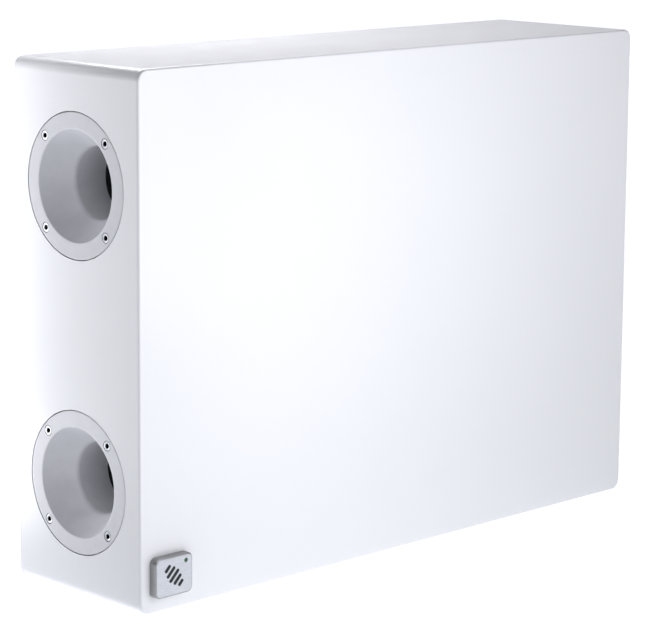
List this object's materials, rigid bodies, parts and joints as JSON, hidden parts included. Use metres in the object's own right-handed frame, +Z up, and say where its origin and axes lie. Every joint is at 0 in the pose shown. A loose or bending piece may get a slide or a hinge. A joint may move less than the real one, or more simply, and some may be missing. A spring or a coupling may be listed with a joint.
{
  "type": "active subwoofer",
  "caption": "Slim white active subwoofer cabinet with flared bass-reflex ports in one narrow side, rear-firing woofers, a recessed amplifier panel and a small badge with a status lamp.",
  "frame": {"origin": "bottom centre of the whole object's box, on the surface that it stands on", "axes": "+Z up; the large front face looks along -Y and the woofers along +Y; the ports open along -X and the amplifier panel faces +X"},
  "size_m": [0.616, 0.19, 0.453],
  "materials": {
    "white_lacquer": "satin white lacquer",
    "raw_board": "bare fibreboard",
    "wadding": "fluffy polyester",
    "black_rubber": "matt",
    "zinc_steel": "zinc plated",
    "black_steel": "black oxide",
    "brass_bush": "machined",
    "port_grey": "satin light grey",
    "tube_black": "matt black",
    "foam": "closed-cell foam",
    "badge_grey": "dark grey satin",
    "badge_aluminium": "diagonal brushed",
    "badge_black": "black",
    "led_green": "tinted clear",
    "frame_black": "textured black",
    "surround_rubber": "satin",
    "cone_paper": "coated fibre",
    "cap_plastic": "satin",
    "coil_copper": "enamelled winding",
    "spider_cloth": "resin-stiffened",
    "ferrite": "matt",
    "plated_steel": "passivated",
    "panel_black": "fine texture",
    "sink_black": "black anodised",
    "circuit_board": "solder mask",
    "winding": "taped winding",
    "capacitor": "sleeved",
    "control_grey": "matt",
    "knob_black": "soft touch",
    "slider_white": "matt",
    "rocker_black": "glossy",
    "inlet_black": "matt",
    "jack_gold": "gold plated",
    "cable_red": "insulation"
  },
  "bodies": {
    "cabinet": {"front_panel": "white_lacquer", "top_panel": "white_lacquer", "bottom_panel": "white_lacquer", "port_panel": "white_lacquer", "amp_panel": "white_lacquer", "rear_baffle": "white_lacquer", "cabinet_brace": "raw_board", "amp_bulkhead": "raw_board", "damping_wadding": "wadding", "bottom_pads": "black_rubber", "standoff_feet": "black_rubber", "standoff_screws": "zinc_steel", "port_screws": "zinc_steel", "wall_inserts": "brass_bush", "port_flare_upper": "port_grey", "port_flare_lower": "port_grey", "port_tube_upper": "tube_black", "port_tube_lower": "tube_black", "port_gaskets": "foam", "woofer_gaskets": "foam", "amp_gasket": "foam", "badge_plate": "badge_grey", "badge_face": "badge_aluminium", "badge_mark": "badge_black", "led_lens": "led_green", "woofer_a_basket": "frame_black", "woofer_a_surround": "surround_rubber", "woofer_a_spider": "spider_cloth", "woofer_a_magnet": "ferrite", "woofer_a_yoke": "plated_steel", "woofer_b_basket": "frame_black", "woofer_b_surround": "surround_rubber", "woofer_b_spider": "spider_cloth", "woofer_b_magnet": "ferrite", "woofer_b_yoke": "plated_steel", "woofer_top_plates": "plated_steel", "woofer_terminals": "coil_copper", "woofer_screws": "black_steel", "amp_screws": "black_steel", "amp_plate": "panel_black", "heat_sink": "sink_black", "amp_board": "circuit_board", "power_transformer": "winding", "amp_capacitors": "capacitor", "control_bodies": "control_grey", "mains_inlet": "inlet_black", "rca_jacks": "jack_gold", "wiring_loom": "cable_red"},
    "woofer_a_motor": {"woofer_a_cone": "cone_paper", "woofer_a_dust_cap": "cap_plastic", "woofer_a_voice_coil": "coil_copper"},
    "woofer_b_motor": {"woofer_b_cone": "cone_paper", "woofer_b_dust_cap": "cap_plastic", "woofer_b_voice_coil": "coil_copper"},
    "volume_control": {"volume_knob": "knob_black"},
    "crossover_control": {"crossover_knob": "knob_black"},
    "phase_slider": {"phase_switch": "slider_white"},
    "power_mode_slider": {"power_mode_switch": "slider_white"},
    "mains_rocker_body": {"mains_rocker": "rocker_black"},
    "fuse_holder": {"fuse_drawer": "inlet_black"}
  },
  "joints": [
    {"name": "woofer_a_stroke", "type": "slide", "parent": "cabinet", "child": "woofer_a_motor", "axis": [0, 1, 0], "range_m": [-0.008, 0.008], "stiffness_N_per_m": 2400, "deforming": ["woofer_a_surround", "woofer_a_spider"]},
    {"name": "woofer_b_stroke", "type": "slide", "parent": "cabinet", "child": "woofer_b_motor", "axis": [0, 1, 0], "range_m": [-0.008, 0.008], "stiffness_N_per_m": 2400, "deforming": ["woofer_b_surround", "woofer_b_spider"]},
    {"name": "volume_turn", "type": "hinge", "parent": "cabinet", "child": "volume_control", "pos_m": [0.302, -0.0315, 0.34], "axis": [1, 0, 0], "range_deg": [-150, 150]},
    {"name": "crossover_turn", "type": "hinge", "parent": "cabinet", "child": "crossover_control", "pos_m": [0.302, 0.0165, 0.34], "axis": [1, 0, 0], "range_deg": [-150, 150]},
    {"name": "phase_slide", "type": "slide", "parent": "cabinet", "child": "phase_slider", "axis": [0, 1, 0], "range_m": [0, 0.005]},
    {"name": "power_mode_slide", "type": "slide", "parent": "cabinet", "child": "power_mode_slider", "axis": [0, 1, 0], "range_m": [0, 0.006]},
    {"name": "mains_rock", "type": "hinge", "parent": "cabinet", "child": "mains_rocker_body", "pos_m": [0.293, 0.0185, 0.118], "axis": [0, -1, 0], "range_deg": [0, 22]},
    {"name": "fuse_pull", "type": "slide", "parent": "cabinet", "child": "fuse_holder", "axis": [1, 0, 0], "range_m": [0, 0.02]}
  ]
}
